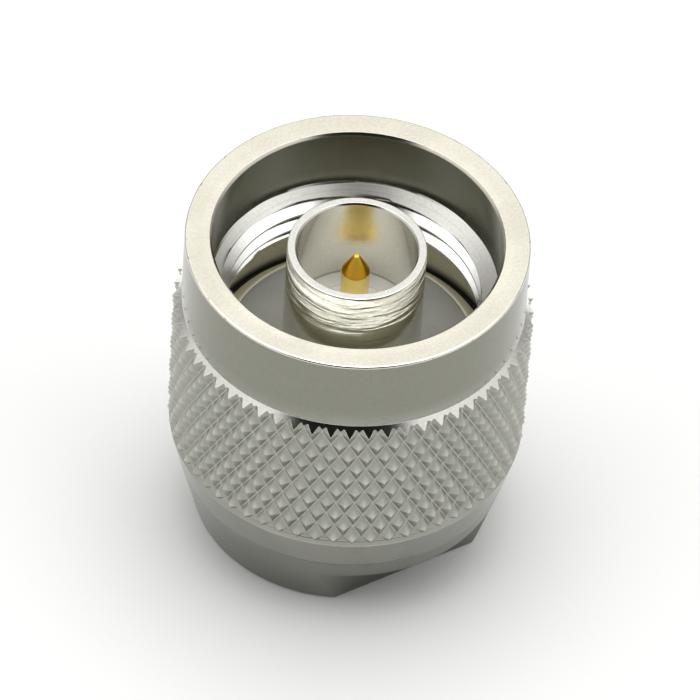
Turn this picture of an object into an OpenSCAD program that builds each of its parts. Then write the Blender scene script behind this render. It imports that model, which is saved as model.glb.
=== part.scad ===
/* [Overall] */
// Height from the rear face to the rim of the coupling nut
overall_h = 21.5; // [21:0.1:24]

/* [Coupling nut, outside] */
// Diameter of the smooth collar at the rim
collar_d = 20; // [19.6:0.1:20.6]
// Length of the smooth collar, from the rim to the ledge of the knurl
collar_l = 5.2; // [4.8:0.05:5.5]
// Break of the two edges of the rim
rim_break = 0.12; // [0.05:0.01:0.2]
// Height of the groove bottoms of the knurl above the collar
knurl_step = 0.17; // [0.1:0.01:0.25]
// How far the collar's foot stays behind the groove bottoms
foot_set = 0.02; // [0.02:0.01:0.05]
// Height of the straight land under the collar's foot
foot_land = 0.05; // [0.03:0.01:0.1]
// Depth of the knurl, from the points of its diamonds to the groove bottoms
knurl_depth = 0.36; // [0.2:0.02:0.45]
// Length of the knurled band
knurl_l = 9.5; // [9:0.05:10]
// Diamonds around the knurl
knurl_count = 60; // [48:2:72]
// Angle between the knurl's grooves and the axis
knurl_angle = 29; // [25:1:35]
// How far the smooth tail stands out past the points of the knurl
tail_lip = 0.02; // [0.02:0.01:0.1]
// Turn of the nut on the hub, as it stands
nut_turn = 5; // [0:0.5:6]
// Length of the part of the smooth tail that belongs to the nut
nut_tail_l = 2.45; // [2:0.05:2.8]
// Diameter of the tail at the rear face
tail_end_d = 17.6; // [17.2:0.1:18.4]

/* [Coupling nut, inside] */
// Diameter of the plain mouth in front of the thread
mouth_d = 16.8; // [16.4:0.1:17.2]
// Depth of the plain mouth
mouth_l = 4; // [3.6:0.1:4.3]
// Length of the cone that leads into the thread
lead_in_l = 0.6; // [0.4:0.1:0.8]
// Diameter inside the crests of the 5/8-24 thread
thread_minor_d = 14.74; // [14.6:0.01:14.9]
// Length of the thread
thread_l = 2.45; // [2.2:0.05:2.7]
// How far the relief behind the thread reaches out past the bore around the hub
relief_step = 0.5; // [0.35:0.05:0.6]
// Length of the cone between the thread and its relief
relief_cone_l = 0.5; // [0.3:0.1:0.6]
// Depth of the relief's floor below the rim
relief_floor = 10.7; // [10.5:0.1:10.9]

/* [Turning fit] */
// Diameter of the hub that the nut turns on
hub_d = 16.6; // [16.4:0.1:16.8]
// Running clearance around the hub
run_gap = 0.05; // [0.03:0.01:0.08]
// Width of the flat land at the hub's front, between the gasket and a cone of 45 degrees
hub_land = 0.15; // [0.1:0.05:0.3]
// Lead-in at the rear end of the nut's bore, for the ring
bore_lead_in = 0.3; // [0.2:0.05:0.4]
// Gap between the nut and the collar behind it
seam_gap = 0.1; // [0.06:0.02:0.2]

/* [Retaining ring] */
// Depth of the middle of the ring below the rim
ring_drop = 13.5; // [13:0.1:14]
// Height of the ring along the axis
ring_h = 0.9; // [0.7:0.05:1]
// Width of the ring, across its section
ring_w = 1; // [0.8:0.05:1.1]
// How far the ring reaches into the nut
ring_bite = 0.5; // [0.4:0.05:0.6]
// Clearance between the ring and the groove of the nut
ring_gap = 0.1; // [0.06:0.02:0.15]
// Extra depth of the hub's groove, for pressing the ring in
ring_spare = 0.1; // [0.05:0.05:0.2]
// Angle of the slit in the ring
ring_slit = 14; // [8:1:24]

/* [Connector body] */
// Depth of the hub's front face below the rim
hub_drop = 9.15; // [9:0.05:9.3]
// Outside diameter of the contact sleeve
sleeve_d = 8.1; // [7.9:0.05:8.3]
// Bore of the contact sleeve
sleeve_bore_d = 7; // [6.8:0.1:7.2]
// Depth of the sleeve's tip below the rim
sleeve_drop = 0.75; // [0.5:0.05:1]
// Length of the taper at the sleeve's tip
sleeve_taper_l = 0.15; // [0.1:0.05:0.3]
// Depth of the taper at the sleeve's tip
sleeve_taper = 0.07; // [0.05:0.01:0.15]
// Break of the inner edge of the sleeve's tip
sleeve_break = 0.1; // [0.05:0.01:0.15]
// Bore behind the insulator, open to the rear
rear_bore_d = 9; // [8.6:0.1:9.6]
// Wall between the gasket's seat and the rear bore
web_l = 1.1; // [0.9:0.1:1.4]
// Distance across the two spanner flats
flats_af = 15; // [14.6:0.1:15.4]
// Height of the spanner flats
flats_h = 2.9; // [2.6:0.1:3.2]
// Break of the rear edge of the body
rear_break = 0.15; // [0.1:0.05:0.3]

/* [Face gasket] */
// Wall of the hub around the gasket
gasket_wall = 1.05; // [0.9:0.05:1.2]
// Depth of the gasket's seat in the hub
gasket_seat = 1.65; // [1.4:0.05:1.8]
// How far the gasket stands out of its seat
gasket_proud = 0.06; // [0.02:0.02:0.2]
// Break of the gasket's edge
gasket_break = 0.12; // [0.05:0.01:0.2]
// Depth of the neck in the sleeve that holds the gasket
gasket_neck = 0.1; // [0.05:0.01:0.2]

/* [Insulator and centre pin] */
// Depth of the insulator's face below the rim
bead_drop = 6.4; // [6:0.1:6.8]
// Diameter of the shallow recess in the insulator's face
bead_recess_d = 5; // [4.6:0.1:5.4]
// Depth of that recess
bead_recess = 0.15; // [0.1:0.05:0.3]
// Thickness of the insulator's rear flange
bead_flange_l = 1; // [0.8:0.1:1.2]
// Diameter of the pin
pin_d = 1.65; // [1.6:0.01:1.7]
// Diameter of the pin's shank inside the insulator
pin_shank_d = 2.2; // [2:0.1:2.4]
// Depth of the pin's point below the rim
pin_drop = 1.37; // [1.2:0.01:1.6]
// Length of the pin's cone
pin_cone_l = 1.23; // [1:0.01:1.4]
// Diameter of the small flat on the pin's point
pin_flat_d = 0.4; // [0.3:0.05:0.5]
// Diameter of the socket at the pin's rear end
pin_head_d = 3.8; // [3.4:0.1:4.2]
// Thickness of the closed end of that socket
pin_head_floor = 0.5; // [0.4:0.1:0.7]

/* [Resistor and end plug] */
// Diameter of the resistor's rod
rod_d = 2.1; // [1.9:0.1:2.3]
// Length of the resistor over its caps
resistor_l = 4; // [3.6:0.1:4.4]
// Wall of the resistor's caps
cap_wall = 0.25; // [0.2:0.05:0.35]
// Length of each cap
cap_l = 1.3; // [1.2:0.1:1.5]
// How deep each cap sits in its socket
cap_seat = 1.1; // [1:0.1:1.2]
// How far the end plug lies inside the rear face
plug_recess = 0.6; // [0.3:0.1:0.9]
// Break of the rear edge of the plug
plug_break = 0.3; // [0.2:0.05:0.5]

/* [Hidden] */
$fn = 96;

// Overlap that makes cuts and joined shapes run past each other
bite = 0.3;

// Radii of the nut's outside
collar_r = collar_d / 2;
foot_r = collar_r + knurl_step - foot_set;
knurl_low_r = collar_r + knurl_step;
knurl_high_r = knurl_low_r + knurl_depth;
tail_top_r = knurl_high_r + tail_lip;
tail_end_r = tail_end_d / 2;

// Levels of the nut's outside, measured up from the rear face
ledge_z = overall_h - collar_l;
knurl_end_z = ledge_z - knurl_l;
nut_end_z = knurl_end_z - nut_tail_l;
rear_collar_z = nut_end_z - seam_gap;

// The nut and the rear collar share one cone
function tail_r(z) = tail_end_r + (tail_top_r - tail_end_r) * z / knurl_end_z;

// Levels of the nut's inside
mouth_z = overall_h - mouth_l;
thread_top_z = mouth_z - lead_in_l;
thread_end_z = thread_top_z - thread_l;
relief_z = thread_end_z - relief_cone_l;
relief_floor_z = overall_h - relief_floor;
nut_bore_r = hub_d / 2 + run_gap;
relief_r = nut_bore_r + relief_step;

// The ring lies on the lower side of the hub's groove
hub_r = hub_d / 2;
ring_z = overall_h - ring_drop - ring_h / 2;
ring_out_r = nut_bore_r + ring_bite;
ring_in_r = ring_out_r - ring_w;
ring_groove_r = ring_out_r + ring_gap;
hub_groove_r = hub_r - ring_w - ring_spare;

// Radii and levels of the connector body
sleeve_r = sleeve_d / 2;
sleeve_bore_r = sleeve_bore_d / 2;
sleeve_tip_z = overall_h - sleeve_drop;
hub_top_z = overall_h - hub_drop;
gasket_r = hub_r - gasket_wall;
hub_cone_l = gasket_wall - hub_land;
gasket_in_r = sleeve_r - gasket_neck;
gasket_floor_z = hub_top_z - gasket_seat;
gasket_top_z = hub_top_z + gasket_proud;
rear_bore_r = rear_bore_d / 2;
rear_bore_z = gasket_floor_z - web_l;

// Levels of the insulator and the pin
bead_face_z = overall_h - bead_drop;
bead_back_z = rear_bore_z - bead_flange_l;
bead_recess_z = bead_face_z - bead_recess;
pin_r = pin_d / 2;
pin_shank_r = pin_shank_d / 2;
pin_tip_z = overall_h - pin_drop;
pin_head_end_z = bead_back_z - pin_head_floor - cap_seat;

// The resistor bridges the pin's socket and the plug's socket
rod_r = rod_d / 2;
cap_r = rod_r + cap_wall;
resistor_top_z = bead_back_z - pin_head_floor;
resistor_end_z = resistor_top_z - resistor_l;
plug_top_z = resistor_end_z + cap_seat;

// Rows of the knurl: points and groove crossings alternate along each row
knurl_cols = 2 * knurl_count;
col_angle = 360 / knurl_cols;
row_h = 3.14159265 * knurl_high_r / knurl_count / tan(knurl_angle);
knurl_base_z = knurl_end_z - tail_lip / 2;
full_rows = floor((ledge_z - knurl_base_z) / row_h);
part_row = (ledge_z - knurl_base_z) / row_h - full_rows;

// Hidden walls of the knurled band share the metal between the nut's widest hollow and the groove bottoms
hollow_r = max(ring_groove_r, relief_r);
knurl_core_r = hollow_r + (knurl_low_r - hollow_r) / 3;
knurl_back_r = hollow_r + (knurl_low_r - hollow_r) * 2 / 3;

function is_point(i, j) = (i + j) % 2 == 0;
function row_r(i, j) = is_point(i, j) ? knurl_high_r : knurl_low_r;
function at(r, a, z) = [r * cos(a), r * sin(a), z];

// Corners of the full rows, from the ledge downwards
knurl_rows = [for (i = [0:full_rows]) for (j = [0:knurl_cols - 1])
    at(row_r(i, j), j * col_angle, ledge_z - i * row_h)];

// The last row is cut off by the tail: each column gives one corner, each groove another
function cut_r(j) = row_r(full_rows, j) * (1 - part_row) + row_r(full_rows + 1, j) * part_row;
function groove_col(j) = is_point(full_rows, j) ? j + 1 - part_row : j + part_row;
knurl_cut = [for (j = [0:knurl_cols - 1]) at(cut_r(j), j * col_angle, knurl_base_z)];
groove_cut = [for (j = [0:knurl_cols - 1]) at(knurl_low_r, groove_col(j) * col_angle, knurl_base_z)];

// The band's hidden inner wall
back_top = [for (j = [0:knurl_cols - 1]) at(knurl_core_r, j * col_angle, ledge_z)];
back_low = [for (j = [0:knurl_cols - 1]) at(knurl_core_r, j * col_angle, knurl_base_z)];

// Where each set of corners starts in the list of all corners
cut_0 = (full_rows + 1) * knurl_cols;
groove_0 = cut_0 + knurl_cols;
top_0 = groove_0 + knurl_cols;
low_0 = top_0 + knurl_cols;

function col(j) = j % knurl_cols;
function corner(i, j) = i * knurl_cols + col(j);

// Two facets fill each cell between two rows, split along the groove that crosses it
function cell(i, j) = is_point(i, j)
    ? [[corner(i, j), corner(i, j + 1), corner(i + 1, j)],
       [corner(i, j + 1), corner(i + 1, j + 1), corner(i + 1, j)]]
    : [[corner(i, j), corner(i, j + 1), corner(i + 1, j + 1)],
       [corner(i, j), corner(i + 1, j + 1), corner(i + 1, j)]];

// In the cut row the groove ends on the tail, so each cell has three facets
function cut_cell(j) = is_point(full_rows, j)
    ? [[corner(full_rows, j), corner(full_rows, j + 1), groove_0 + j],
       [corner(full_rows, j), groove_0 + j, cut_0 + j],
       [corner(full_rows, j + 1), cut_0 + col(j + 1), groove_0 + j]]
    : [[corner(full_rows, j), corner(full_rows, j + 1), groove_0 + j],
       [corner(full_rows, j + 1), cut_0 + col(j + 1), groove_0 + j],
       [corner(full_rows, j), groove_0 + j, cut_0 + j]];

// The ledge, the hidden base and the hidden inner wall close the band
function closing(j) = [
    [corner(0, j), top_0 + j, top_0 + col(j + 1), corner(0, j + 1)],
    [top_0 + j, low_0 + j, low_0 + col(j + 1), top_0 + col(j + 1)],
    [cut_0 + j, groove_0 + j, cut_0 + col(j + 1), low_0 + col(j + 1), low_0 + j]];

module knurled_band() {
    corners = concat(knurl_rows, knurl_cut, groove_cut, back_top, back_low);
    cells = [for (i = [0:1:full_rows - 1]) for (j = [0:knurl_cols - 1]) for (f = cell(i, j)) f];
    ends = [for (j = [0:knurl_cols - 1]) for (f = concat(cut_cell(j), closing(j))) f];
    polyhedron(points = corners, faces = concat(cells, ends), convexity = 4);
}

module nut_profile() {
    polygon([
        [mouth_d / 2 + rim_break, overall_h],
        [collar_r - rim_break, overall_h],
        [collar_r, overall_h - rim_break],
        [collar_r, ledge_z + foot_land + foot_r - collar_r],
        [foot_r, ledge_z + foot_land],
        [foot_r, ledge_z - bite],
        [knurl_back_r, ledge_z - bite],
        [knurl_back_r, knurl_end_z],
        [tail_top_r, knurl_end_z],
        [tail_r(nut_end_z), nut_end_z],
        [nut_bore_r + bore_lead_in, nut_end_z],
        [nut_bore_r, nut_end_z + bore_lead_in],
        [nut_bore_r, ring_z - ring_gap],
        [ring_groove_r, ring_z - ring_gap],
        [ring_groove_r, ring_z + ring_h + ring_gap],
        [nut_bore_r, ring_z + ring_h + ring_gap],
        [nut_bore_r, relief_floor_z],
        [relief_r, relief_floor_z],
        [relief_r, relief_z],
        [thread_minor_d / 2, thread_end_z],
        [thread_minor_d / 2, thread_top_z],
        [mouth_d / 2, mouth_z],
        [mouth_d / 2, overall_h - rim_break]
    ]);
}

// Turned nut that screws onto the mating connector
module coupling_nut() {
    color("silver") {
        rotate_extrude() nut_profile();
        rotate([0, 0, nut_turn]) knurled_band();
    }
}

// Split wire ring that holds the nut on the hub and lets it turn
module retaining_ring() {
    color("darkgoldenrod")
    translate([0, 0, ring_z])
    rotate([0, 0, ring_slit / 2])
    rotate_extrude(angle = 360 - ring_slit)
    translate([ring_in_r, 0])
    square([ring_w, ring_h]);
}

module body_profile() {
    polygon([
        [sleeve_bore_r + sleeve_break, sleeve_tip_z],
        [sleeve_r - sleeve_taper, sleeve_tip_z],
        [sleeve_r, sleeve_tip_z - sleeve_taper_l],
        [sleeve_r, gasket_top_z],
        [gasket_in_r, gasket_top_z],
        [gasket_in_r, gasket_floor_z],
        [gasket_r, gasket_floor_z],
        [gasket_r, hub_top_z],
        [hub_r - hub_cone_l, hub_top_z],
        [hub_r, hub_top_z - hub_cone_l],
        [hub_r, ring_z + ring_h + ring_gap],
        [hub_groove_r, ring_z + ring_h + ring_gap],
        [hub_groove_r, ring_z],
        [hub_r, ring_z],
        [hub_r, rear_collar_z],
        [tail_r(rear_collar_z), rear_collar_z],
        [tail_r(rear_break), rear_break],
        [tail_end_r - rear_break, 0],
        [rear_bore_r, 0],
        [rear_bore_r, rear_bore_z],
        [sleeve_bore_r, rear_bore_z],
        [sleeve_bore_r, sleeve_tip_z - sleeve_break]
    ]);
}

// Cutter for one spanner flat, on the +Y side
module flat_cutter() {
    translate([-tail_top_r, flats_af / 2, -bite])
    cube([2 * tail_top_r, tail_top_r, flats_h + bite]);
}

// Contact sleeve, hub and rear collar, turned in one piece
module connector_body() {
    color("gainsboro")
    difference() {
        rotate_extrude() body_profile();
        flat_cutter();
        mirror([0, 1, 0]) flat_cutter();
    }
}

// Rubber ring that seals against the mating connector
module face_gasket() {
    color("dimgray")
    rotate_extrude()
    polygon([
        [gasket_in_r, gasket_floor_z],
        [gasket_r, gasket_floor_z],
        [gasket_r, gasket_top_z - gasket_break],
        [gasket_r - gasket_break, gasket_top_z],
        [gasket_in_r, gasket_top_z]
    ]);
}

// Insulating bead that centres the pin in the sleeve
module insulator() {
    color("whitesmoke")
    rotate_extrude()
    polygon([
        [pin_shank_r, bead_recess_z],
        [bead_recess_d / 2, bead_recess_z],
        [bead_recess_d / 2, bead_face_z],
        [sleeve_bore_r, bead_face_z],
        [sleeve_bore_r, rear_bore_z],
        [rear_bore_r, rear_bore_z],
        [rear_bore_r, bead_back_z],
        [pin_shank_r, bead_back_z]
    ]);
}

// Turned pin with a socket for the resistor at its rear end
module centre_pin() {
    color("gold")
    rotate_extrude()
    polygon([
        [0, pin_tip_z],
        [pin_flat_d / 2, pin_tip_z],
        [pin_r, pin_tip_z - pin_cone_l],
        [pin_r, bead_recess_z],
        [pin_shank_r, bead_recess_z],
        [pin_shank_r, bead_back_z],
        [pin_head_d / 2, bead_back_z],
        [pin_head_d / 2, pin_head_end_z],
        [cap_r, pin_head_end_z],
        [cap_r, resistor_top_z],
        [0, resistor_top_z]
    ]);
}

// Ceramic rod that carries the resistive film
module resistor_rod() {
    color("saddlebrown")
    translate([0, 0, resistor_end_z + cap_wall])
    cylinder(r = rod_r, h = resistor_l - 2 * cap_wall);
}

// Metal cup, closed end up, that covers one end of the rod
module resistor_cap() {
    rotate_extrude()
    polygon([
        [0, 0],
        [cap_r, 0],
        [cap_r, -cap_l],
        [rod_r, -cap_l],
        [rod_r, -cap_wall],
        [0, -cap_wall]
    ]);
}

module resistor_front_cap() {
    color("lightgray")
    translate([0, 0, resistor_top_z])
    resistor_cap();
}

module resistor_rear_cap() {
    color("lightgray")
    translate([0, 0, resistor_end_z])
    mirror([0, 0, 1])
    resistor_cap();
}

// Plug pressed into the rear bore, with a socket for the resistor
module end_plug() {
    color("silver")
    rotate_extrude()
    polygon([
        [0, plug_recess],
        [rear_bore_r - plug_break, plug_recess],
        [rear_bore_r, plug_recess + plug_break],
        [rear_bore_r, plug_top_z],
        [cap_r, plug_top_z],
        [cap_r, resistor_end_z],
        [0, resistor_end_z]
    ]);
}

coupling_nut();
retaining_ring();
connector_body();
face_gasket();
insulator();
centre_pin();
resistor_rod();
resistor_front_cap();
resistor_rear_cap();
end_plug();
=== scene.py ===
import math

import bmesh
import bpy
from mathutils import Matrix, Vector


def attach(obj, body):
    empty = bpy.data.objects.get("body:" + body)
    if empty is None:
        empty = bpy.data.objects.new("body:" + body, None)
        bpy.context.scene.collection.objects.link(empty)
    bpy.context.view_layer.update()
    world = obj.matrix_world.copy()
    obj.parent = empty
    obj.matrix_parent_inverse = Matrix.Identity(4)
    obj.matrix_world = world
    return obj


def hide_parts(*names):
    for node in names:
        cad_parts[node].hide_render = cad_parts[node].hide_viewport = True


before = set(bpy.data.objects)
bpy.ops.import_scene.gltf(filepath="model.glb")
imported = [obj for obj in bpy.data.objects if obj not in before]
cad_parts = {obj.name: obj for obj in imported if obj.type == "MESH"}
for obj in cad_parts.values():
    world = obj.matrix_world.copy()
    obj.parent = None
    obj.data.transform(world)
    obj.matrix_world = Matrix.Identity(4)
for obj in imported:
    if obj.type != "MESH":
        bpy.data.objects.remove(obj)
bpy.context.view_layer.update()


# Connector body: one turned piece of brass with a bright nickel plate. The contact sleeve, the hub
# that the nut turns on and the rear collar are cut from the same bar, and two flats for a spanner
# are milled into the collar. Sizes are in mm: a radius, or a height above the rear face.
MM = 0.001
FULL_TURN = 2 * math.pi
ON_AXIS = 1e-6
NEAR = 0.03
NEAR_PARTS = 5
SMOOTH_BELOW = math.radians(28)
ROUND_COLUMNS = 84
FLAT_COLUMNS = 60
FLAT_AT = 7.5
FLAT_TOP = 2.9
FOOT_BREAK = 0.15
FOOT_STEPS = 4
FOOT_END = 0.2
TAIL_FOOT_RADIUS = 8.8
TAIL_SPREAD = 1.75
TAIL_TOP = 6.8
COLLAR_SHOULDER = 4.25
HUB_RADIUS = 8.3
HUB_EDGE = 11.45
HUB_LAND = 7.4
HUB_TOP = 12.35
RING_FLOOR = 7.2
RING_LOW = 7.55
RING_HIGH = 8.55
GASKET_INNER = 3.95
GASKET_OUTER = 7.25
GASKET_LOW = 10.7
GASKET_HIGH = 12.41
SLEEVE_RADIUS = 4.05
SLEEVE_BORE = 3.5
SLEEVE_TOP = 20.75
TIP_BREAK = 0.1
BORE_STEP = 9.6
REAR_BORE = 4.5
REAR_BREAK = 0.12


def tail(height):
    """Radius of the cone that the nut's tail and the rear collar share."""
    return TAIL_FOOT_RADIUS + TAIL_SPREAD * height / TAIL_TOP


def eased(corners, steps=4):
    """Turns corners (radius, height, easing) into outline points (radius, height, edge): each easing
    becomes an arc between two near points that keep the flat faces flat. Edge is 1 on an outer
    corner and -1 in an inner one."""
    points = []
    for k, (radius, height, easing) in enumerate(corners):
        if not easing:
            points.append((radius, height, 0.0))
            continue
        here = Vector((radius, height))
        last = Vector(corners[k - 1][:2]) - here
        following = Vector(corners[(k + 1) % len(corners)][:2]) - here
        edge = 1.0 if following.x * last.y - following.y * last.x > 0 else -1.0
        near = [min(NEAR, side.length / NEAR_PARTS) for side in (last, following)]
        last.normalize()
        following.normalize()
        half = last.angle(following) / 2
        reach = easing / math.tan(half)
        centre = here + (last + following).normalized() * (easing / math.sin(half))
        start = here + last * reach
        end = here + following * reach
        sweep = math.pi - 2 * half
        points.append((*(start + last * near[0]), 0.0))
        for step in range(steps + 1):
            part = step / steps
            arm = (start - centre) * math.sin((1 - part) * sweep)
            arm += (end - centre) * math.sin(part * sweep)
            points.append((*(centre + arm / math.sin(sweep)), edge))
        points.append((*(end + following * near[1]), 0.0))
    return points


def turned(outline, turns, closed):
    """A mesh turned from an outline, and its rings: one for each point of the outline, with a point
    at each of the given angles."""
    bm = bmesh.new()
    edge_mark = bm.verts.layers.float.new("edge")
    rings = []
    for radius, height, edge in outline:
        ring = []
        for angle in turns if radius > ON_AXIS else turns[:1]:
            x, y = radius * MM * math.cos(angle), radius * MM * math.sin(angle)
            ring.append(bm.verts.new((x, y, height * MM)))
            ring[-1][edge_mark] = edge
        rings.append(ring)
    count = len(turns)
    for low, high in zip(rings, rings[1:] + (rings[:1] if closed else [])):
        for k in range(count):
            after = (k + 1) % count
            corners = [low[k % len(low)], low[after % len(low)],
                       high[after % len(high)], high[k % len(high)]]
            corners = list(dict.fromkeys(corners))
            if len(corners) > 2:
                bm.faces.new(corners).smooth = True
    return bm, rings


def piece_of(bm, name, finish):
    """Makes a finished mesh the object of that name, in its one finish."""
    mesh = bpy.data.meshes.new(name)
    bm.to_mesh(mesh)
    smooth = [face.smooth for face in bm.faces]
    bm.free()
    mesh.set_sharp_from_angle(angle=SMOOTH_BELOW)
    mesh.polygons.foreach_set("use_smooth", smooth)
    mesh.materials.append(finish)
    piece = bpy.data.objects.new(name, mesh)
    bpy.context.scene.collection.objects.link(piece)
    return piece


def spread(first, last, count):
    """Even steps from the first value up to the last, which is left out."""
    return [first + (last - first) * k / count for k in range(count)]


def milled(radius, flat):
    """One ring of the rear collar, round at its two sides and cut to the two flats."""
    end = math.asin(flat / radius)
    corner = radius * math.cos(end)
    half = [(radius * math.cos(a), radius * math.sin(a)) for a in spread(-end, end, ROUND_COLUMNS)]
    half += [(x, flat) for x in spread(corner, -corner, FLAT_COLUMNS)]
    return half + [(-x, -y) for x, y in half]


flat_end = math.asin(FLAT_AT / tail(FLAT_TOP))
body_turns = spread(-flat_end, flat_end, ROUND_COLUMNS)
body_turns += spread(flat_end, math.pi - flat_end, FLAT_COLUMNS)
body_turns += [a + math.pi for a in body_turns]

collar_rings = []
for k in range(FOOT_STEPS + 1):
    around = math.pi / 2 * k / FOOT_STEPS
    inset = FOOT_BREAK * (1 - math.sin(around))
    height = FOOT_BREAK * (1 - math.cos(around))
    collar_rings.append((tail(height) - inset, height, 1.0, FLAT_AT - inset))
for height in (FOOT_END, FLAT_TOP - NEAR, FLAT_TOP):
    collar_rings.append((tail(height), height, 0.0, FLAT_AT))

body_corners = [
    (tail(FLAT_TOP), FLAT_TOP, 0),
    (tail(FLAT_TOP + NEAR), FLAT_TOP + NEAR, 0),
    (tail(COLLAR_SHOULDER), COLLAR_SHOULDER, 0.015),
    (HUB_RADIUS, COLLAR_SHOULDER, 0.08),
    (HUB_RADIUS, RING_LOW, 0.04),
    (RING_FLOOR, RING_LOW, 0.05),
    (RING_FLOOR, RING_HIGH, 0.05),
    (HUB_RADIUS, RING_HIGH, 0.04),
    (HUB_RADIUS, HUB_EDGE, 0.06),
    (HUB_LAND, HUB_TOP, 0.04),
    (GASKET_OUTER, HUB_TOP, 0.04),
    (GASKET_OUTER, GASKET_LOW, 0.05),
    (GASKET_INNER, GASKET_LOW, 0.04),
    (GASKET_INNER, GASKET_HIGH, 0.03),
    (SLEEVE_RADIUS, GASKET_HIGH, 0.03),
    (SLEEVE_RADIUS, SLEEVE_TOP, 0.07),
    (SLEEVE_BORE + TIP_BREAK, SLEEVE_TOP, 0.03),
    (SLEEVE_BORE, SLEEVE_TOP - TIP_BREAK, 0.03),
    (SLEEVE_BORE, BORE_STEP, 0.1),
    (REAR_BORE, BORE_STEP, 0.05),
    (REAR_BORE, REAR_BREAK, 0.03),
    (REAR_BORE + REAR_BREAK, 0.0, 0.03),
]
body_outline = [ring[:3] for ring in collar_rings] + eased(body_corners)
body_bm, rings = turned(body_outline, body_turns, closed=True)
for ring, (radius, height, edge, flat) in zip(rings, collar_rings):
    for point, (x, y) in zip(ring, milled(radius, flat)):
        point.co = (x * MM, y * MM, height * MM)
bmesh.ops.remove_doubles(body_bm, verts=body_bm.verts, dist=1e-8)
bmesh.ops.dissolve_degenerate(body_bm, edges=body_bm.edges, dist=1e-9)
bmesh.ops.recalc_face_normals(body_bm, faces=body_bm.faces)


def plug(tree, socket, value):
    """Links a socket to another's output, or gives it a plain value."""
    if isinstance(value, bpy.types.NodeSocket):
        tree.links.new(value, socket)
    else:
        socket.default_value = value


def feed(tree, node, **inputs):
    """Gives the named inputs of a node their links or values."""
    for name, value in inputs.items():
        plug(tree, node.inputs[name.replace("_", " ")], value)


def place_node(tree, kind, settings=None, **inputs):
    """A new node with its settings and its named inputs."""
    made = tree.nodes.new(kind)
    for name, value in (settings or {}).items():
        setattr(made, name, value)
    feed(tree, made, **inputs)
    return made


def maths(tree, operation, *terms):
    """The result of one operation on plain values or sockets."""
    made = place_node(tree, "ShaderNodeMath", {"operation": operation})
    for socket, term in zip(made.inputs, terms):
        plug(tree, socket, term)
    return made.outputs[0]


def product(tree, *factors):
    """All the factors multiplied in their order."""
    made = factors[0]
    for factor in factors[1:]:
        made = maths(tree, "MULTIPLY", made, factor)
    return made


def rest_of(tree, share):
    """What a share leaves of 1."""
    return maths(tree, "SUBTRACT", 1.0, share)


def graded(tree, value, low, high, to_low, to_high):
    """Eases a value between two limits into another pair of limits."""
    made = place_node(tree, "ShaderNodeMapRange", {"interpolation_type": "SMOOTHSTEP"}, Value=value,
                      From_Min=low, From_Max=high, To_Min=to_low, To_Max=to_high)
    return made.outputs["Result"]


def above(tree, value, low, high):
    """A share that eases from 0 to 1 between two lengths in mm."""
    return graded(tree, value, low * MM, high * MM, 0.0, 1.0)


def below(tree, value, low, high):
    """A share that eases from 1 to 0 between two lengths in mm."""
    return graded(tree, value, low * MM, high * MM, 1.0, 0.0)


def blended(tree, share, first, second):
    """A colour between two others."""
    made = place_node(tree, "ShaderNodeMix", {"data_type": "RGBA"})
    sockets = made.inputs[0], made.inputs[6], made.inputs[7]
    for socket, value in zip(sockets, (share, first, second)):
        plug(tree, socket, value)
    return made.outputs[2]


def lighter(tree, value, colour):
    """A colour made lighter or darker by a value around 1."""
    return place_node(tree, "ShaderNodeHueSaturation", Value=value, Color=colour).outputs[0]


def speckle(tree, place, size, detail=2.0, rough=0.55):
    """Noise with marks of about that size in mm."""
    made = place_node(tree, "ShaderNodeTexNoise", Vector=place, Scale=1 / (size * MM),
                      Detail=detail, Roughness=rough)
    return made.outputs["Fac"]


def around_axis(tree, place):
    """The X, Y and Z of a place, and its distance from the part's axis."""
    axes = place_node(tree, "ShaderNodeSeparateXYZ", Vector=place).outputs
    flat = place_node(tree, "ShaderNodeCombineXYZ", X=axes["X"], Y=axes["Y"]).outputs[0]
    length = place_node(tree, "ShaderNodeVectorMath", {"operation": "LENGTH"}, Vector=flat)
    return axes, length.outputs["Value"]


def shared_group(name, inputs, outputs):
    """An empty shader group with named sockets, and its two end nodes."""
    tree = bpy.data.node_groups.new(name, "ShaderNodeTree")
    for socket, kind in inputs:
        tree.interface.new_socket(socket, in_out="INPUT", socket_type="NodeSocket" + kind)
    for socket in outputs:
        tree.interface.new_socket(socket, in_out="OUTPUT", socket_type="NodeSocketFloat")
    given = tree.nodes.new("NodeGroupInput").outputs
    return tree, given, tree.nodes.new("NodeGroupOutput").inputs


WANDER_SIZE = 2.5
turning_marks, given, result = shared_group(
    "turning_marks", [("Place", "Vector"), ("Spacing", "Float"), ("Waver", "Float")], ["Height"])
axes, from_axis = around_axis(turning_marks, given["Place"])
wander = product(turning_marks, speckle(turning_marks, given["Place"], WANDER_SIZE), given["Waver"])
across_marks = place_node(
    turning_marks, "ShaderNodeCombineXYZ",
    X=maths(turning_marks, "DIVIDE", from_axis, given["Spacing"]),
    Y=maths(turning_marks, "DIVIDE", axes["Z"], given["Spacing"]), Z=wander).outputs[0]
lines = place_node(turning_marks, "ShaderNodeTexNoise", Vector=across_marks, Scale=1.0, Detail=3.0,
                   Roughness=0.6)
turning_marks.links.new(lines.outputs["Fac"], result["Height"])

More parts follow.
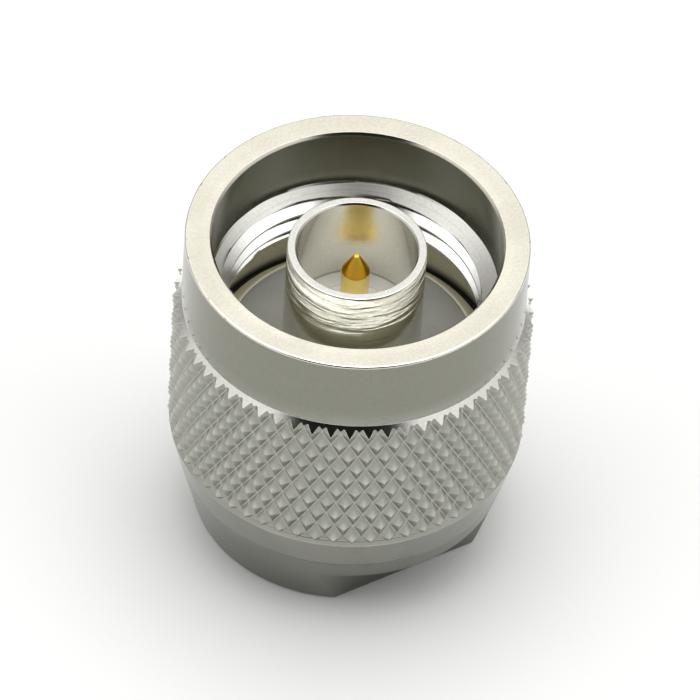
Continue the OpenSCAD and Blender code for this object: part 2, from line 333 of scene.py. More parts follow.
plating_grain, given, result = shared_group(
    "plating_grain", [("Place", "Vector"), ("Size", "Float")], ["Height", "Fleck"])
scaled = place_node(plating_grain, "ShaderNodeVectorMath", {"operation": "DIVIDE"})
plating_grain.links.new(given["Place"], scaled.inputs[0])
plating_grain.links.new(given["Size"], scaled.inputs[1])
fine = place_node(plating_grain, "ShaderNodeTexNoise", Vector=scaled.outputs[0], Scale=1.0,
                  Detail=2.0, Roughness=0.6)
coarse = place_node(plating_grain, "ShaderNodeTexNoise", Vector=scaled.outputs[0], Scale=0.4,
                    Detail=3.0, Roughness=0.7)
fleck = graded(plating_grain, coarse.outputs["Fac"], 0.3, 0.7, 0.0, 1.0)
plating_grain.links.new(fine.outputs["Fac"], result["Height"])
plating_grain.links.new(fleck, result["Fleck"])

RUB_SIZE = 1.2
SMUDGE_SIZE = 4.0
NICK_SIZE = 0.35
handling_marks, given, result = shared_group(
    "handling_marks", [("Place", "Vector"), ("Edge", "Float")], ["Rub", "Smudge", "Nick"])
outer_edge = maths(handling_marks, "MAXIMUM", given["Edge"], 0.0)
patches = speckle(handling_marks, given["Place"], RUB_SIZE, 3.0)
patchy = graded(handling_marks, patches, 0.35, 0.6, 0.4, 1.0)
smears = speckle(handling_marks, given["Place"], SMUDGE_SIZE, 4.0, 0.65)
smudge = graded(handling_marks, smears, 0.35, 0.65, 0.0, 1.0)
dots = speckle(handling_marks, given["Place"], NICK_SIZE, 2.0)
sparse = graded(handling_marks, dots, 0.62, 0.7, 0.0, 1.0)
handling_marks.links.new(product(handling_marks, outer_edge, patchy), result["Rub"])
handling_marks.links.new(smudge, result["Smudge"])
handling_marks.links.new(product(handling_marks, outer_edge, sparse), result["Nick"])


def finish_named(name):
    """A new material with its tree, its shader and the place that its pattern reads."""
    finish = bpy.data.materials.new(name)
    finish.use_nodes = True
    tree = finish.node_tree
    place = tree.nodes.new("ShaderNodeTexCoord").outputs["Object"]
    return finish, tree, tree.nodes["Principled BSDF"], place


def edge_of(tree):
    """The mark on a mesh's points: 1 on an outer corner, below 0 in an inner one or in a groove."""
    return place_node(tree, "ShaderNodeAttribute", {"attribute_name": "edge"}).outputs["Fac"]


def use_group(tree, group, **inputs):
    """The outputs of a shared group with the given inputs."""
    return place_node(tree, "ShaderNodeGroup", {"node_tree": group}, **inputs).outputs


def roughened(tree, rough, *zones):
    """A roughness with more of it in each of the zones (share, more)."""
    for share, more in zones:
        rough = maths(tree, "ADD", rough, product(tree, share, more))
    return rough


def raised(tree, shader, *layers):
    """Bump from layers of (height, depth in mm), one on top of the other."""
    normal = None
    for height, depth in layers:
        made = place_node(tree, "ShaderNodeBump", Strength=1.0, Distance=depth * MM, Height=height)
        if normal:
            tree.links.new(normal, made.inputs["Normal"])
        normal = made.outputs["Normal"]
    tree.links.new(normal, shader.inputs["Normal"])


SLEEVE_SHADES = (0.66, 0.645, 0.57, 1), (0.72, 0.705, 0.63, 1)
REAR_SHADES = (0.228, 0.231, 0.206, 1), (0.26, 0.263, 0.235, 1)
BORE_SHADE = (0.80, 0.79, 0.735, 1)
TIP_SHADE = (0.71, 0.705, 0.66, 1)
# Hub cone: beige of dull plated brass, lightened well past it as painted light where the gap is
# shaded.
HUB_CONE_BEIGE_AND_PAINTED_LIGHT = (0.98, 0.945, 0.79, 1)
# Painted shadow: near black where shade falls on the hub's side below its edge, inside the nut, and
# low in the nut's relief.
GAP_PAINTED_SHADOW = (0.03, 0.03, 0.026, 1)
RUBBED_SHADE = (0.86, 0.85, 0.79, 1)
FRONT_FROM = (5.0, 9.0)
WORN_FROM = (17.6 * MM, 18.3 * MM)
DRAG_STRETCH = (0.12, 0.12, 1.0)
DRAG_SIZE = 0.85
DRAG_DEPTH = 0.14

body_finish, tree, shader, place = finish_named("bright_nickel")
axes, from_axis = around_axis(tree, place)
marks = use_group(tree, turning_marks, Place=place, Spacing=0.07 * MM, Waver=3.0)
grain = use_group(tree, plating_grain, Place=place, Size=0.06 * MM)
handling = use_group(tree, handling_marks, Place=place, Edge=edge_of(tree))
in_front = above(tree, axes["Z"], *FRONT_FROM)
in_bore = product(
    tree, below(tree, from_axis, SLEEVE_BORE + 0.02, SLEEVE_BORE + 0.08), in_front)
in_gap = product(
    tree, above(tree, from_axis, GASKET_OUTER - 0.05, GASKET_OUTER + 0.05), in_front)
# Painted shadow on the hub's side, below the hub's edge.
in_painted_shadow = product(tree, in_gap, below(tree, axes["Z"], HUB_EDGE - 0.25, HUB_EDGE - 0.05))
on_tip = above(tree, axes["Z"], SLEEVE_TOP - 0.05, SLEEVE_TOP - 0.01)
on_sleeve = product(
    tree, above(tree, from_axis, SLEEVE_RADIUS - 0.35, SLEEVE_RADIUS - 0.15),
    below(tree, from_axis, SLEEVE_RADIUS + 0.15, SLEEVE_RADIUS + 0.35),
    below(tree, axes["Z"], SLEEVE_TOP - 0.15, SLEEVE_TOP - 0.07), in_front)
worn = product(tree, on_sleeve, graded(tree, axes["Z"], *WORN_FROM, 0.1, 1.0))
drag_place = place_node(tree, "ShaderNodeMapping", Vector=place, Scale=DRAG_STRETCH).outputs[0]
drag = maths(tree, "SUBTRACT", speckle(tree, drag_place, DRAG_SIZE, 3.0, 0.5), 0.5)
bright = blended(tree, handling["Smudge"], *SLEEVE_SHADES)
# In the hub's gap: lightened beige as painted light on the cone, and painted shadow below the hub's
# edge.
for share, shade in ((in_bore, BORE_SHADE), (on_tip, TIP_SHADE), (in_gap, HUB_CONE_BEIGE_AND_PAINTED_LIGHT),
                     (in_painted_shadow, GAP_PAINTED_SHADOW)):
    bright = blended(tree, share, bright, shade)
dull = blended(tree, handling["Smudge"], *REAR_SHADES)
base = lighter(tree, graded(tree, grain["Fleck"], 0.0, 1.0, 0.96, 1.05),
               blended(tree, in_front, dull, bright))
base = blended(tree, product(tree, handling["Rub"], 0.1), base, RUBBED_SHADE)
rough = roughened(tree, graded(tree, in_front, 0.0, 1.0, 0.18, 0.11), (handling["Smudge"], 0.05),
                  (on_sleeve, 0.02), (in_bore, 0.05), (in_gap, 0.40))
feed(tree, shader, Base_Color=base, Metallic=rest_of(tree, in_gap), Roughness=rough)
raised(tree, shader, (marks["Height"], 0.0015), (grain["Height"], 0.001),
       (product(tree, drag, worn), DRAG_DEPTH))

body = piece_of(body_bm, "body_turning", body_finish)
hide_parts("connector_body")
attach(body, "body")


# Insulator: a turned bead of white fluoropolymer with a flange behind, pushed into the body from the
# rear. It centres the pin, and its front face shows as a pale disc at the bottom of the sleeve.
FINE_COLUMNS = 144
PIN_SHANK = 1.1
PIN_HEAD_TOP = 8.6
BEAD_FRONT = 15.1
DISH_RADIUS = 2.5
DISH_FLOOR = 14.95
BEAD_SHADES = (0.93, 0.93, 0.895, 1), (0.96, 0.96, 0.935, 1)
fine_turns = spread(0, FULL_TURN, FINE_COLUMNS)
bead_corners = [
    (PIN_SHANK, PIN_HEAD_TOP, 0),
    (REAR_BORE, PIN_HEAD_TOP, 0.1),
    (REAR_BORE, BORE_STEP, 0.05),
    (SLEEVE_BORE, BORE_STEP, 0.05),
    (SLEEVE_BORE, BEAD_FRONT, 0.12),
    (DISH_RADIUS, BEAD_FRONT, 0.05),
    (DISH_RADIUS, DISH_FLOOR, 0.05),
    (PIN_SHANK, DISH_FLOOR, 0.04),
]
bead_bm = turned(eased(bead_corners), fine_turns, closed=True)[0]

bead_finish, tree, shader, place = finish_named("white_fluoropolymer")
marks = use_group(tree, turning_marks, Place=place, Spacing=0.05 * MM, Waver=1.0)
handling = use_group(tree, handling_marks, Place=place, Edge=edge_of(tree))
feed(tree, shader, Base_Color=blended(tree, handling["Smudge"], *BEAD_SHADES),
     Roughness=graded(tree, handling["Smudge"], 0.0, 1.0, 0.42, 0.55))
raised(tree, shader, (marks["Height"], 0.002))

bead = piece_of(bead_bm, "insulator_bead", bead_finish)
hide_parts("insulator")
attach(bead, "body")


# Centre pin: turned from brass and gold plated, with a cone point that leads into the mating socket.
# Its thicker shank is held in the bead, and the head behind takes the front cap of the resistor.
PIN_RADIUS = 0.825
PIN_HEAD = 1.9
PIN_HEAD_LOW = 7.0
CAP_RADIUS = 1.3
SOCKET_FLOOR = 8.1
CONE_FOOT = 18.9
POINT_RADIUS = 0.15
PIN_TOP = 20.13
GOLD_SHADES = (0.92, 0.71, 0.22, 1), (0.96, 0.77, 0.28, 1)
CONE_SHADE = (0.83, 0.55, 0.075, 1)
pin_corners = [
    (0.0, SOCKET_FLOOR, 0),
    (CAP_RADIUS, SOCKET_FLOOR, 0.05),
    (CAP_RADIUS, PIN_HEAD_LOW, 0.05),
    (PIN_HEAD, PIN_HEAD_LOW, 0.1),
    (PIN_HEAD, PIN_HEAD_TOP, 0.05),
    (PIN_SHANK, PIN_HEAD_TOP, 0.03),
    (PIN_SHANK, DISH_FLOOR, 0.03),
    (PIN_RADIUS, DISH_FLOOR, 0.03),
    (PIN_RADIUS, CONE_FOOT, 0.12),
    (POINT_RADIUS, PIN_TOP, 0.06),
    (0.0, PIN_TOP, 0),
]
pin_bm = turned(eased(pin_corners, steps=5), fine_turns, closed=False)[0]

pin_finish, tree, shader, place = finish_named("gold_plate")
axes = place_node(tree, "ShaderNodeSeparateXYZ", Vector=place).outputs
marks = use_group(tree, turning_marks, Place=place, Spacing=0.05 * MM, Waver=1.0)
handling = use_group(tree, handling_marks, Place=place, Edge=edge_of(tree))
on_cone = above(tree, axes["Z"], CONE_FOOT - 0.15, CONE_FOOT + 0.05)
base = blended(tree, on_cone, blended(tree, handling["Smudge"], *GOLD_SHADES), CONE_SHADE)
feed(tree, shader, Base_Color=base, Metallic=1.0,
     Roughness=graded(tree, marks["Height"], 0.3, 0.7, 0.16, 0.26))
raised(tree, shader, (marks["Height"], 0.002))

pin = piece_of(pin_bm, "gold_pin", pin_finish)
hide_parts("centre_pin")
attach(pin, "body")


# Resistor: a small ceramic rod with a brown film that turns the signal into heat, and a tinned steel
# cup pressed on each end. It sits inside the body between the pin's head and the plug, so its solids
# are kept as they are.
FILM_SHADES = (0.20, 0.11, 0.07, 1), (0.36, 0.22, 0.14, 1)
TIN_SHADES = (0.62, 0.62, 0.61, 1), (0.74, 0.74, 0.73, 1)


def coat(node, finish):
    """Gives a solid that is kept its finish."""
    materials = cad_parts[node].data.materials
    materials.clear()
    materials.append(finish)


film_finish, tree, shader, place = finish_named("resistive_film")
marks = use_group(tree, turning_marks, Place=place, Spacing=0.12 * MM, Waver=2.0)
feed(tree, shader, Base_Color=blended(tree, marks["Height"], *FILM_SHADES),
     Roughness=graded(tree, marks["Height"], 0.3, 0.7, 0.35, 0.55))
raised(tree, shader, (marks["Height"], 0.006))
coat("resistor_rod", film_finish)

tin_finish, tree, shader, place = finish_named("tinned_steel")
grain = use_group(tree, plating_grain, Place=place, Size=0.12 * MM)
feed(tree, shader, Base_Color=blended(tree, grain["Fleck"], *TIN_SHADES), Metallic=1.0,
     Roughness=graded(tree, grain["Fleck"], 0.0, 1.0, 0.28, 0.42))
raised(tree, shader, (grain["Height"], 0.004))
coat("resistor_front_cap", tin_finish)
coat("resistor_rear_cap", tin_finish)


# End plug: a nickel plated disc pressed into the rear bore until it meets the resistor's rear cup,
# which it earths. Its outer edge is broken so that it starts into the bore, and it stays a little
# below the rear face.
PLUG_REAR = 0.6
PLUG_BREAK = 0.3
PLUG_FRONT = 5.2
PLUG_SOCKET = 4.1
plug_corners = [
    (0.0, PLUG_REAR, 0),
    (REAR_BORE - PLUG_BREAK, PLUG_REAR, 0.05),
    (REAR_BORE, PLUG_REAR + PLUG_BREAK, 0.05),
    (REAR_BORE, PLUG_FRONT, 0.08),
    (CAP_RADIUS, PLUG_FRONT, 0.08),
    (CAP_RADIUS, PLUG_SOCKET, 0.05),
    (0.0, PLUG_SOCKET, 0),
]
plug_bm = turned(eased(plug_corners), fine_turns, closed=False)[0]
end_plug = piece_of(plug_bm, "rear_plug", body_finish)
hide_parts("end_plug")
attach(end_plug, "body")


# Face gasket: a ring of grey silicone rubber stretched over the sleeve into the hub's front recess.
# The rim of the mating connector presses on it and keeps water out of the thread.
RUBBER_SHADES = (0.36, 0.36, 0.335, 1), (0.42, 0.42, 0.39, 1)
RUBBER_FLECK = (0.48, 0.48, 0.45, 1)
gasket_corners = [
    (GASKET_INNER, GASKET_LOW, 0.05),
    (GASKET_OUTER, GASKET_LOW, 0.05),
    (GASKET_OUTER, GASKET_HIGH, 0.12),
    (GASKET_INNER, GASKET_HIGH, 0.06),
]
gasket_bm = turned(eased(gasket_corners), body_turns, closed=True)[0]

rubber_finish, tree, shader, place = finish_named("grey_silicone")
grain = use_group(tree, plating_grain, Place=place, Size=0.09 * MM)
handling = use_group(tree, handling_marks, Place=place, Edge=edge_of(tree))
base = blended(tree, handling["Smudge"], *RUBBER_SHADES)
base = blended(tree, product(tree, grain["Fleck"], 0.35), base, RUBBER_FLECK)
feed(tree, shader, Base_Color=base,
     Roughness=graded(tree, grain["Fleck"], 0.0, 1.0, 0.48, 0.62))
raised(tree, shader, (grain["Height"], 0.006))

gasket = piece_of(gasket_bm, "gasket_ring", rubber_finish)
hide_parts("face_gasket")
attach(gasket, "body")


# Retaining ring: split spring wire of drawn bronze that lies half in the hub's groove and half in the
# nut's, and keeps the nut on the hub. The two pieces cover it, so its solid is kept.
BRONZE_SHADES = (0.50, 0.31, 0.16, 1), (0.68, 0.46, 0.26, 1)
bronze_finish, tree, shader, place = finish_named("drawn_bronze")
marks = use_group(tree, turning_marks, Place=place, Spacing=0.08 * MM, Waver=1.5)
feed(tree, shader, Base_Color=blended(tree, marks["Height"], *BRONZE_SHADES), Metallic=1.0,
     Roughness=graded(tree, marks["Height"], 0.3, 0.7, 0.26, 0.40))
raised(tree, shader, (marks["Height"], 0.006))
coat("retaining_ring", bronze_finish)


# Coupling nut: turned from brass bar, knurled in diamonds, threaded inside and given a satin nickel
# plate. It turns freely on the hub, and its right-hand thread draws the terminator onto the mating
# connector.
NUT_COLUMNS = 288
RIM = 21.5
RIM_BREAK = 0.15
MOUTH = 8.4
COLLAR = 10.0
CHAMFER_TOP = 16.53
KNURL_VALLEY = 10.17
KNURL_DEPTH = 0.36
KNURL_COUNT = 60
KNURL_TOP = 17.0
KNURL_MIDDLE = 12.0
KNURL_ROWS = 12
KNURL_ROW = 0.9953
KNURL_TURN = 8.3
GROOVE_SHARE = 0.07
RIDGE_SHARE = 0.025
TIP_SHARE = 0.06
TIP_RIDGE_SHARE = 0.3
TIP_RISE = 0.985
CUT_WITHIN = 1e-7
MERGE_WITHIN = 2e-7
TAIL_TOP_RADIUS = 10.31
TAIL_LEDGE = 0.11
TAIL_SHOULDER = (10.43, 6.5)
RUN_OUT_RADIUS = 10.14
RUN_OUT_RISE = 0.42
LEAD_IN_TOP = 17.5
THREAD_PITCH = 25.4 / 24
THREAD_TURNS = 4.6
THREAD_START = 12.8
THREAD_ROOT = 7.94
THREAD_CREST = 7.37
THREAD_TOP = 16.9
THREAD_END = 14.45
THREAD_LIFT = 0.02
RIB_FOOT_SHARE = 0.875
RIB_CREST_SHARE = 0.125
RELIEF = 8.85
RELIEF_TOP = 13.95
RELIEF_FLOOR = 10.8
NUT_BORE = 8.35
NUT_GROOVE = 8.95
NUT_GROOVE_LOW = 7.45
NUT_FOOT = 4.28
NUT_LEAD = 8.7
NUT_LEAD_TOP = 4.65
lead_slope = (MOUTH - THREAD_CREST) / (LEAD_IN_TOP - THREAD_TOP)
relief_slope = (RELIEF - THREAD_CREST) / (THREAD_END - RELIEF_TOP)

RIM_SHADES = (0.72, 0.69, 0.588, 1), (0.77, 0.74, 0.636, 1)
THREAD_SHADE = (0.80, 0.80, 0.765, 1)
LEAD_IN_SHADE = (0.51, 0.506, 0.474, 1)
# Mouth wall: its own colour, then a lighter colour as painted light towards the wall's foot.
WALL_AND_PAINTED_LIGHT_SHADES = (0.45, 0.455, 0.39, 1), (0.66, 0.665, 0.59, 1)
# Relief wall: beige of turned brass, lightened well past it as painted light.
RELIEF_BEIGE_AND_PAINTED_LIGHT = (0.98, 0.95, 0.77, 1)
CHAMFER_SHADE = (0.93, 0.92, 0.87, 1)
SATIN_SHADES = (0.277, 0.28, 0.247, 1), (0.31, 0.313, 0.279, 1)
# Painted shade: the collar darker than the rest of the satin plate, for the dim floor it mirrors.
COLLAR_PAINTED_SHADE = (0.238, 0.241, 0.201, 1)
KNURL_SHADE = (0.343, 0.347, 0.31, 1)
# Painted highlight: light lines along the bottoms of the knurl's grooves.
GROOVE_PAINTED_HIGHLIGHT = (0.72, 0.715, 0.665, 1)
NICK_SHADE = (0.30, 0.29, 0.25, 1)
OUTSIDE_FROM = (8.96, 9.1)
COLLAR_FROM = (16.4, 17.8)
KNURL_FROM = (10.05, 10.1)
CHAMFER_NEAR = (0.008, 0.02)
ROLLED_SIZE = (0.09, 0.7)

nut_finish, tree, shader, place = finish_named("satin_nickel")
axes, from_axis = around_axis(tree, place)
edge = edge_of(tree)
marks = use_group(tree, turning_marks, Place=place, Spacing=0.06 * MM, Waver=2.0)
grain = use_group(tree, plating_grain, Place=place, Size=0.07 * MM)
handling = use_group(tree, handling_marks, Place=place, Edge=edge)
outside = above(tree, from_axis, *OUTSIDE_FROM)
on_rim = above(tree, axes["Z"], RIM - 0.14, RIM - 0.08)
off_chamfer = maths(tree, "SUBTRACT", maths(tree, "ADD", from_axis, axes["Z"]),
                    (COLLAR + CHAMFER_TOP) * MM)
on_chamfer = product(tree, above(tree, off_chamfer, -CHAMFER_NEAR[1], -CHAMFER_NEAR[0]),
                     below(tree, off_chamfer, *CHAMFER_NEAR), outside)
satin = product(tree, outside, rest_of(tree, maths(tree, "MAXIMUM", on_rim, on_chamfer)))
# Painted shade on the collar above the knurl.
painted_shade_on_collar = above(tree, axes["Z"], *COLLAR_FROM)
in_knurl = product(tree, above(tree, from_axis, *KNURL_FROM),
                   above(tree, axes["Z"], TAIL_TOP + 0.02, TAIL_TOP + 0.1), satin)
in_mouth = product(tree, above(tree, axes["Z"], LEAD_IN_TOP - 0.05, LEAD_IN_TOP + 0.05),
                   rest_of(tree, on_rim))
# The relief behind the thread: lightened beige as painted light, with painted shadow lower down.
in_relief = product(tree, below(tree, axes["Z"], THREAD_END - 0.25, THREAD_END - 0.05),
                    below(tree, from_axis, RELIEF + 0.1, RELIEF + 0.2))
# Painted shadow: near black from the relief's floor upwards, where shade falls under the thread.
in_painted_shadow = product(tree, in_relief, below(tree, axes["Z"], RELIEF_FLOOR + 0.1, RELIEF_FLOOR + 0.9))
lead_in_height = maths(tree, "MULTIPLY_ADD", maths(tree, "SUBTRACT", from_axis, MOUTH * MM),
                       1 / lead_slope, LEAD_IN_TOP * MM)
on_lead_in = above(tree, maths(tree, "SUBTRACT", axes["Z"], lead_in_height), -0.08, -0.04)
# Painted light: the mouth wall gets lighter towards its foot, over a dark reflection.
painted_light_at_wall_foot = below(tree, axes["Z"], LEAD_IN_TOP + 0.1, LEAD_IN_TOP + 1.2)
# Painted highlight along the knurl's groove bottoms, read from the diamond's marks.
groove_highlight = graded(tree, product(tree, edge, -1.0), 0.5, 0.9, 0.0, 0.28)
bright = blended(tree, on_lead_in, THREAD_SHADE, LEAD_IN_SHADE)
for share, shade in ((in_mouth, blended(tree, painted_light_at_wall_foot, *WALL_AND_PAINTED_LIGHT_SHADES)),
                     (in_relief, RELIEF_BEIGE_AND_PAINTED_LIGHT), (in_painted_shadow, GAP_PAINTED_SHADOW),
                     (on_rim, blended(tree, handling["Smudge"], *RIM_SHADES)),
                     (on_chamfer, CHAMFER_SHADE)):
    bright = blended(tree, share, bright, shade)
dull = blended(tree, handling["Smudge"], *SATIN_SHADES)
# Painted shade on the collar, and a painted highlight along the knurl's grooves.
for share, shade in ((painted_shade_on_collar, COLLAR_PAINTED_SHADE), (in_knurl, KNURL_SHADE),
                     (product(tree, groove_highlight, in_knurl), GROOVE_PAINTED_HIGHLIGHT)):
    dull = blended(tree, share, dull, shade)
base = lighter(tree, graded(tree, grain["Fleck"], 0.0, 1.0, 0.97, 1.04),
               blended(tree, satin, bright, dull))
rub_share = maths(tree, "MULTIPLY_ADD", in_knurl, 0.3, graded(tree, satin, 0.0, 1.0, 0.6, 0.15))
base = blended(tree, product(tree, handling["Rub"], rub_share), base, RUBBED_SHADE)
base = blended(tree, product(tree, handling["Nick"], 0.7), base, NICK_SHADE)
on_wall = product(tree, in_mouth, rest_of(tree, outside))
on_cone = product(tree, on_lead_in, rest_of(tree, maths(tree, "MAXIMUM", in_mouth, outside)))
rough = roughened(tree, 0.10, (handling["Smudge"], 0.04), (satin, 0.06), (in_knurl, 0.16),
                  (on_wall, 0.10), (on_cone, 0.06), (in_relief, 0.5))
feed(tree, shader, Base_Color=base, Metallic=rest_of(tree, in_relief), Roughness=rough)
turn = maths(tree, "ARCTAN2", axes["Y"], axes["X"])
rolled_place = place_node(
    tree, "ShaderNodeCombineXYZ", X=product(tree, turn, KNURL_VALLEY / ROLLED_SIZE[0]),
    Y=maths(tree, "DIVIDE", axes["Z"], ROLLED_SIZE[1] * MM)).outputs[0]
rolled_marks = place_node(tree, "ShaderNodeTexNoise", Vector=rolled_place, Scale=1.0, Detail=2.0)
raised(tree, shader, (marks["Height"], 0.001), (grain["Height"], 0.0007),
       (product(tree, rolled_marks.outputs["Fac"], in_knurl), 0.007))


def geometry_tree(name, inputs):
    """An empty geometry tree with named inputs, and its two end nodes."""
    tree = bpy.data.node_groups.new(name, "GeometryNodeTree")
    tree.is_modifier = True
    tree.interface.new_socket("Geometry", in_out="OUTPUT", socket_type="NodeSocketGeometry")
    for socket, kind in inputs:
        tree.interface.new_socket(socket, in_out="INPUT", socket_type="NodeSocket" + kind)
    given = tree.nodes.new("NodeGroupInput").outputs
    return tree, given, tree.nodes.new("NodeGroupOutput").inputs


def grown(mesh, tree, **values):
    """Runs a geometry tree on a mesh with the named inputs and returns the result as a plain mesh."""
    carrier = bpy.data.objects.new(tree.name, mesh)
    bpy.context.scene.collection.objects.link(carrier)
    modifier = carrier.modifiers.new(tree.name, "NODES")
    modifier.node_group = tree
    for item in tree.interface.items_tree:
        name = item.name.replace(" ", "_")
        if item.in_out == "INPUT" and name in values:
            modifier[item.identifier] = values[name]
    evaluated = carrier.evaluated_get(bpy.context.evaluated_depsgraph_get())
    made = bpy.data.meshes.new_from_object(evaluated)
    carrier.modifiers.remove(modifier)
    bpy.data.objects.remove(carrier)
    return made


def rhomb(share, back, height):
    """The eight points of a smaller diamond, two at each corner, set back along its sides."""
    corners = [(0.5 * share, 0), (0, share), (-0.5 * share, 0), (0, -share)]
    points = []
    for k, (x, y) in enumerate(corners):
        for other in (corners[k - 1], corners[(k + 1) % 4]):
            points.append((x + (other[0] - x) * back, y + (other[1] - y) * back, height))
    return points


diamond = bmesh.new()
ridge_mark = diamond.verts.layers.float.new("edge")
border = [diamond.verts.new(p) for p in ((0.5, 0, 0), (0, 1, 0), (-0.5, 0, 0), (0, -1, 0))]
groove = [diamond.verts.new(p) for p in rhomb(1 - GROOVE_SHARE, RIDGE_SHARE, 0.0)]
tip = [diamond.verts.new(p) for p in rhomb(TIP_SHARE, TIP_RIDGE_SHARE, TIP_RISE)]
point = diamond.verts.new((0, 0, 1.0))
for verts, mark in ((border, -1.0), (groove, -0.6), (tip + [point], 1.0)):
    for vert in verts:
        vert[ridge_mark] = mark
for k in range(4):
    near, far, after = 2 * k, 2 * k + 1, 2 * ((k + 1) % 4)
    diamond.faces.new((border[k], border[(k + 1) % 4], groove[after], groove[far]))
    diamond.faces.new((border[k], groove[far], groove[near]))
    diamond.faces.new((groove[far], groove[after], tip[after], tip[far]))
    diamond.faces.new((groove[near], groove[far], tip[far], tip[near]))
    diamond.faces.new((tip[far], tip[after], point))
    diamond.faces.new((tip[near], tip[far], point))
diamond_mesh = bpy.data.meshes.new("knurl_diamond")
diamond.to_mesh(diamond_mesh)
diamond.free()

tree, given, result = geometry_tree("diamond_knurl", [
    ("Diamond", "Geometry"), ("Count", "Int"), ("Rows", "Int"), ("Row Height", "Float"),
    ("Top", "Float"), ("Valley Radius", "Float"), ("Depth", "Float"), ("Turn", "Float"),
    ("Unevenness", "Float"), ("Finish", "Material")])
index = tree.nodes.new("GeometryNodeInputIndex").outputs[0]
row = maths(tree, "FLOOR", maths(tree, "DIVIDE", index, given["Count"]))
half_step = product(tree, maths(tree, "FLOORED_MODULO", row, 2.0), 0.5)
column = maths(tree, "ADD", maths(tree, "FLOORED_MODULO", index, given["Count"]), half_step)
lattice = place_node(tree, "ShaderNodeCombineXYZ", X=column, Y=product(tree, row, -1.0))
points = place_node(tree, "GeometryNodePoints", Position=lattice.outputs[0],
                    Count=product(tree, given["Count"], given["Rows"]))
copies = place_node(tree, "GeometryNodeInstanceOnPoints", Points=points.outputs[0],
                    Instance=given["Diamond"])
joined = place_node(tree, "GeometryNodeRealizeInstances", Geometry=copies.outputs[0])
spot = tree.nodes.new("GeometryNodeInputPosition").outputs[0]
axes = place_node(tree, "ShaderNodeSeparateXYZ", Vector=spot).outputs
step = maths(tree, "DIVIDE", FULL_TURN, given["Count"])
angle = maths(tree, "ADD", product(tree, axes["X"], step), given["Turn"])
slow = place_node(tree, "ShaderNodeTexNoise", Vector=spot, Scale=0.35, Detail=2.0)
uneven = maths(tree, "MULTIPLY_ADD", maths(tree, "SUBTRACT", slow.outputs["Fac"], 0.5),
               given["Unevenness"], 1.0)
rise = product(tree, axes["Z"], given["Depth"])
reach = maths(tree, "MULTIPLY_ADD", rise, uneven, given["Valley Radius"])
wrapped = place_node(
    tree, "ShaderNodeCombineXYZ", X=product(tree, reach, maths(tree, "COSINE", angle)),
    Y=product(tree, reach, maths(tree, "SINE", angle)),
    Z=maths(tree, "MULTIPLY_ADD", axes["Y"], given["Row Height"], given["Top"]))
rolled = place_node(tree, "GeometryNodeSetPosition", Geometry=joined.outputs[0],
                    Position=wrapped.outputs[0])
welded = place_node(tree, "GeometryNodeMergeByDistance", Geometry=rolled.outputs[0],
                    Distance=MERGE_WITHIN)
dressed = place_node(tree, "GeometryNodeSetMaterial", Geometry=welded.outputs[0],
                     Material=given["Finish"])
tree.links.new(dressed.outputs[0], result[0])
knurl_mesh = grown(
    diamond_mesh, tree, Count=KNURL_COUNT, Rows=KNURL_ROWS, Row_Height=KNURL_ROW * MM,
    Top=KNURL_TOP * MM, Valley_Radius=KNURL_VALLEY * MM, Depth=KNURL_DEPTH * MM,
    Turn=math.radians(KNURL_TURN), Unevenness=0.06, Finish=nut_finish)

tree, given, result = geometry_tree("nut_thread", [
    ("Pitch", "Float"), ("Turns", "Float"), ("Root Radius", "Float"), ("Crest Radius", "Float"),
    ("Start", "Float"), ("Lead In Radius", "Float"), ("Lead In Top", "Float"),
    ("Lead In Slope", "Float"), ("Relief Radius", "Float"), ("Relief End", "Float"),
    ("Relief Slope", "Float"), ("Lift", "Float"), ("Finish", "Material")])
depth = maths(tree, "SUBTRACT", given["Root Radius"], given["Crest Radius"])
middle = product(tree, maths(tree, "ADD", given["Root Radius"], given["Crest Radius"]), 0.5)
spiral = place_node(tree, "GeometryNodeCurveSpiral", Resolution=160, Rotations=given["Turns"],
                    Start_Radius=middle, End_Radius=middle, Reverse=True,
                    Height=product(tree, given["Pitch"], given["Turns"]))
upright = place_node(tree, "GeometryNodeSetCurveNormal", {"mode": "Z_UP"}, Curve=spiral.outputs[0])
rib = place_node(tree, "GeometryNodeCurvePrimitiveQuadrilateral", {"mode": "TRAPEZOID"},
                 Height=depth, Bottom_Width=product(tree, given["Pitch"], RIB_FOOT_SHARE),
                 Top_Width=product(tree, given["Pitch"], RIB_CREST_SHARE), Offset=0.0)
laid = place_node(tree, "GeometryNodeTransform", Geometry=rib.outputs[0],
                  Rotation=(0, 0, math.pi / 2))
closer = place_node(tree, "GeometryNodeSubdivideCurve", Curve=laid.outputs[0], Cuts=5)
swept = place_node(tree, "GeometryNodeCurveToMesh", Curve=upright.outputs[0],
                   Profile_Curve=closer.outputs[0], Fill_Caps=True)
spot = tree.nodes.new("GeometryNodeInputPosition").outputs[0]
axes, own_radius = around_axis(tree, spot)
level = maths(tree, "ADD", axes["Z"], given["Start"])
lead_in = maths(tree, "MULTIPLY_ADD", maths(tree, "SUBTRACT", level, given["Lead In Top"]),
                given["Lead In Slope"], given["Lead In Radius"])
lead_in = maths(tree, "MINIMUM", lead_in, given["Lead In Radius"])
relief = maths(tree, "MULTIPLY_ADD", maths(tree, "SUBTRACT", given["Relief End"], level),
               given["Relief Slope"], given["Relief Radius"])
relief = maths(tree, "MINIMUM", relief, given["Relief Radius"])
kept = maths(tree, "MAXIMUM", own_radius, maths(tree, "MAXIMUM", lead_in, relief))
sent = maths(tree, "DIVIDE", maths(tree, "ADD", kept, given["Lift"]), own_radius)
cut_back = place_node(tree, "ShaderNodeCombineXYZ", X=product(tree, axes["X"], sent),
                      Y=product(tree, axes["Y"], sent), Z=level)
